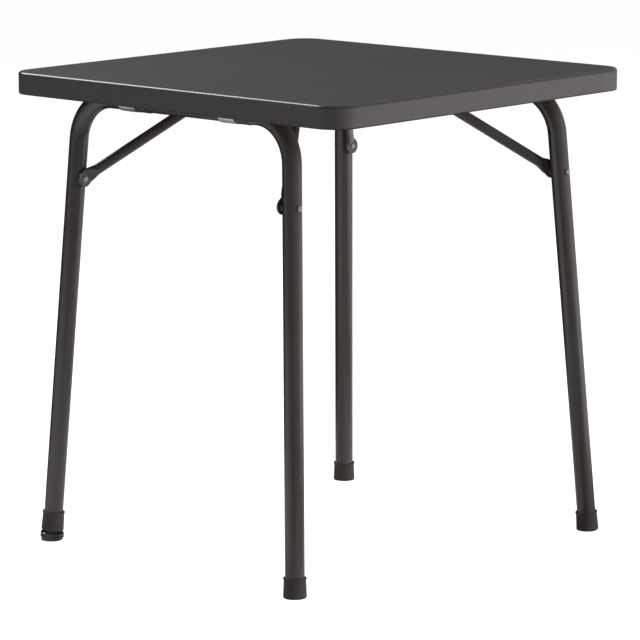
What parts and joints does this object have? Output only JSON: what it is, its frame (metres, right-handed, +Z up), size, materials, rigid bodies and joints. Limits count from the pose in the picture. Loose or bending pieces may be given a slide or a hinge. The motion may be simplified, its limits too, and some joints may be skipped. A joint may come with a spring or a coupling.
{
  "type": "folding card table",
  "caption": "Square folding card table with a moulded dark top on slim U shaped tube legs that fold under it, each leg frame held open by a brace bow.",
  "frame": {"origin": "On the floor under the middle of the table top, with the frames opened.", "axes": "+Z up; X along the crossbars of the leg frames; the frame with the levelling foot is at -Y."},
  "size_m": [0.66, 0.66, 0.72],
  "materials": {
    "top_plastic": "fine matte grain",
    "board": "raw board",
    "leg_paint": "satin powder coat",
    "zinc_steel": "bright zinc plate",
    "spring_steel": "plain spring steel",
    "rivet_steel": "plated",
    "bearing_plastic": "moulded",
    "cap_rubber": "matte",
    "disc_plastic": "satin"
  },
  "bodies": {
    "top": {"top_shell": "top_plastic", "core_board": "board", "front_left_bearing_plate": "zinc_steel", "front_left_strap": "zinc_steel", "front_left_catch": "spring_steel", "front_right_bearing_plate": "zinc_steel", "front_right_strap": "zinc_steel", "front_right_catch": "spring_steel", "rear_left_bearing_plate": "zinc_steel", "rear_left_strap": "zinc_steel", "rear_left_catch": "spring_steel", "rear_right_bearing_plate": "zinc_steel", "rear_right_strap": "zinc_steel", "rear_right_catch": "spring_steel", "strap_screws": "zinc_steel", "catch_screws": "zinc_steel"},
    "front_frame": {"front_left_sleeve": "bearing_plastic", "front_left_foot_cap": "cap_rubber", "front_left_rivet": "rivet_steel", "front_right_sleeve": "bearing_plastic", "front_right_foot_cap": "cap_rubber", "front_right_rivet": "rivet_steel", "front_leg_frame": "leg_paint", "front_brace_spacers": "bearing_plastic", "threaded_insert": "bearing_plastic"},
    "front_brace": {"front_brace_bow": "leg_paint"},
    "rear_frame": {"rear_left_sleeve": "bearing_plastic", "rear_left_foot_cap": "cap_rubber", "rear_left_rivet": "rivet_steel", "rear_right_sleeve": "bearing_plastic", "rear_right_foot_cap": "cap_rubber", "rear_right_rivet": "rivet_steel", "rear_leg_frame": "leg_paint", "rear_brace_spacers": "bearing_plastic"},
    "rear_brace": {"rear_brace_bow": "leg_paint"},
    "levelling_disc": {"levelling_screw": "disc_plastic"},
    "levelling_pad": {"levelling_glide": "cap_rubber"}
  },
  "joints": [
    {"name": "front_fold", "type": "hinge", "parent": "top", "child": "front_frame", "pos_m": [-0.036, -0.255, 0.68365], "axis": [1, 0, 0], "range_deg": [0, 79.2]},
    {"name": "front_brace_turn", "type": "hinge", "parent": "front_frame", "child": "front_brace", "pos_m": [-0.036, -0.26198, 0.55884], "axis": [1, 0, 0], "range_deg": [-109, 0]},
    {"name": "rear_fold", "type": "hinge", "parent": "top", "child": "rear_frame", "pos_m": [0.036, 0.255, 0.68365], "axis": [-1, 0, 0], "range_deg": [0, 79.7]},
    {"name": "rear_brace_turn", "type": "hinge", "parent": "rear_frame", "child": "rear_brace", "pos_m": [0.036, 0.26351, 0.56195], "axis": [-1, 0, 0], "range_deg": [-122, 0]},
    {"name": "levelling_travel", "type": "slide", "parent": "front_frame", "child": "levelling_pad", "axis": [-0.0579, -0.0557, -0.9968], "range_m": [0, 0.01]},
    {"name": "levelling_turn", "type": "hinge", "parent": "levelling_pad", "child": "levelling_disc", "pos_m": [-0.28714, -0.29266, 0.00997], "axis": [-0.0579, -0.0557, -0.9968], "range_deg": [0, 2881]}
  ],
  "couplings": [
    {"joint": "front_brace_turn", "follows": "front_fold", "ratio": -1.364},
    {"joint": "rear_brace_turn", "follows": "rear_fold", "ratio": -1.5289},
    {"joint": "levelling_turn", "follows": "levelling_travel", "rad_per_m": 5026.5}
  ]
}
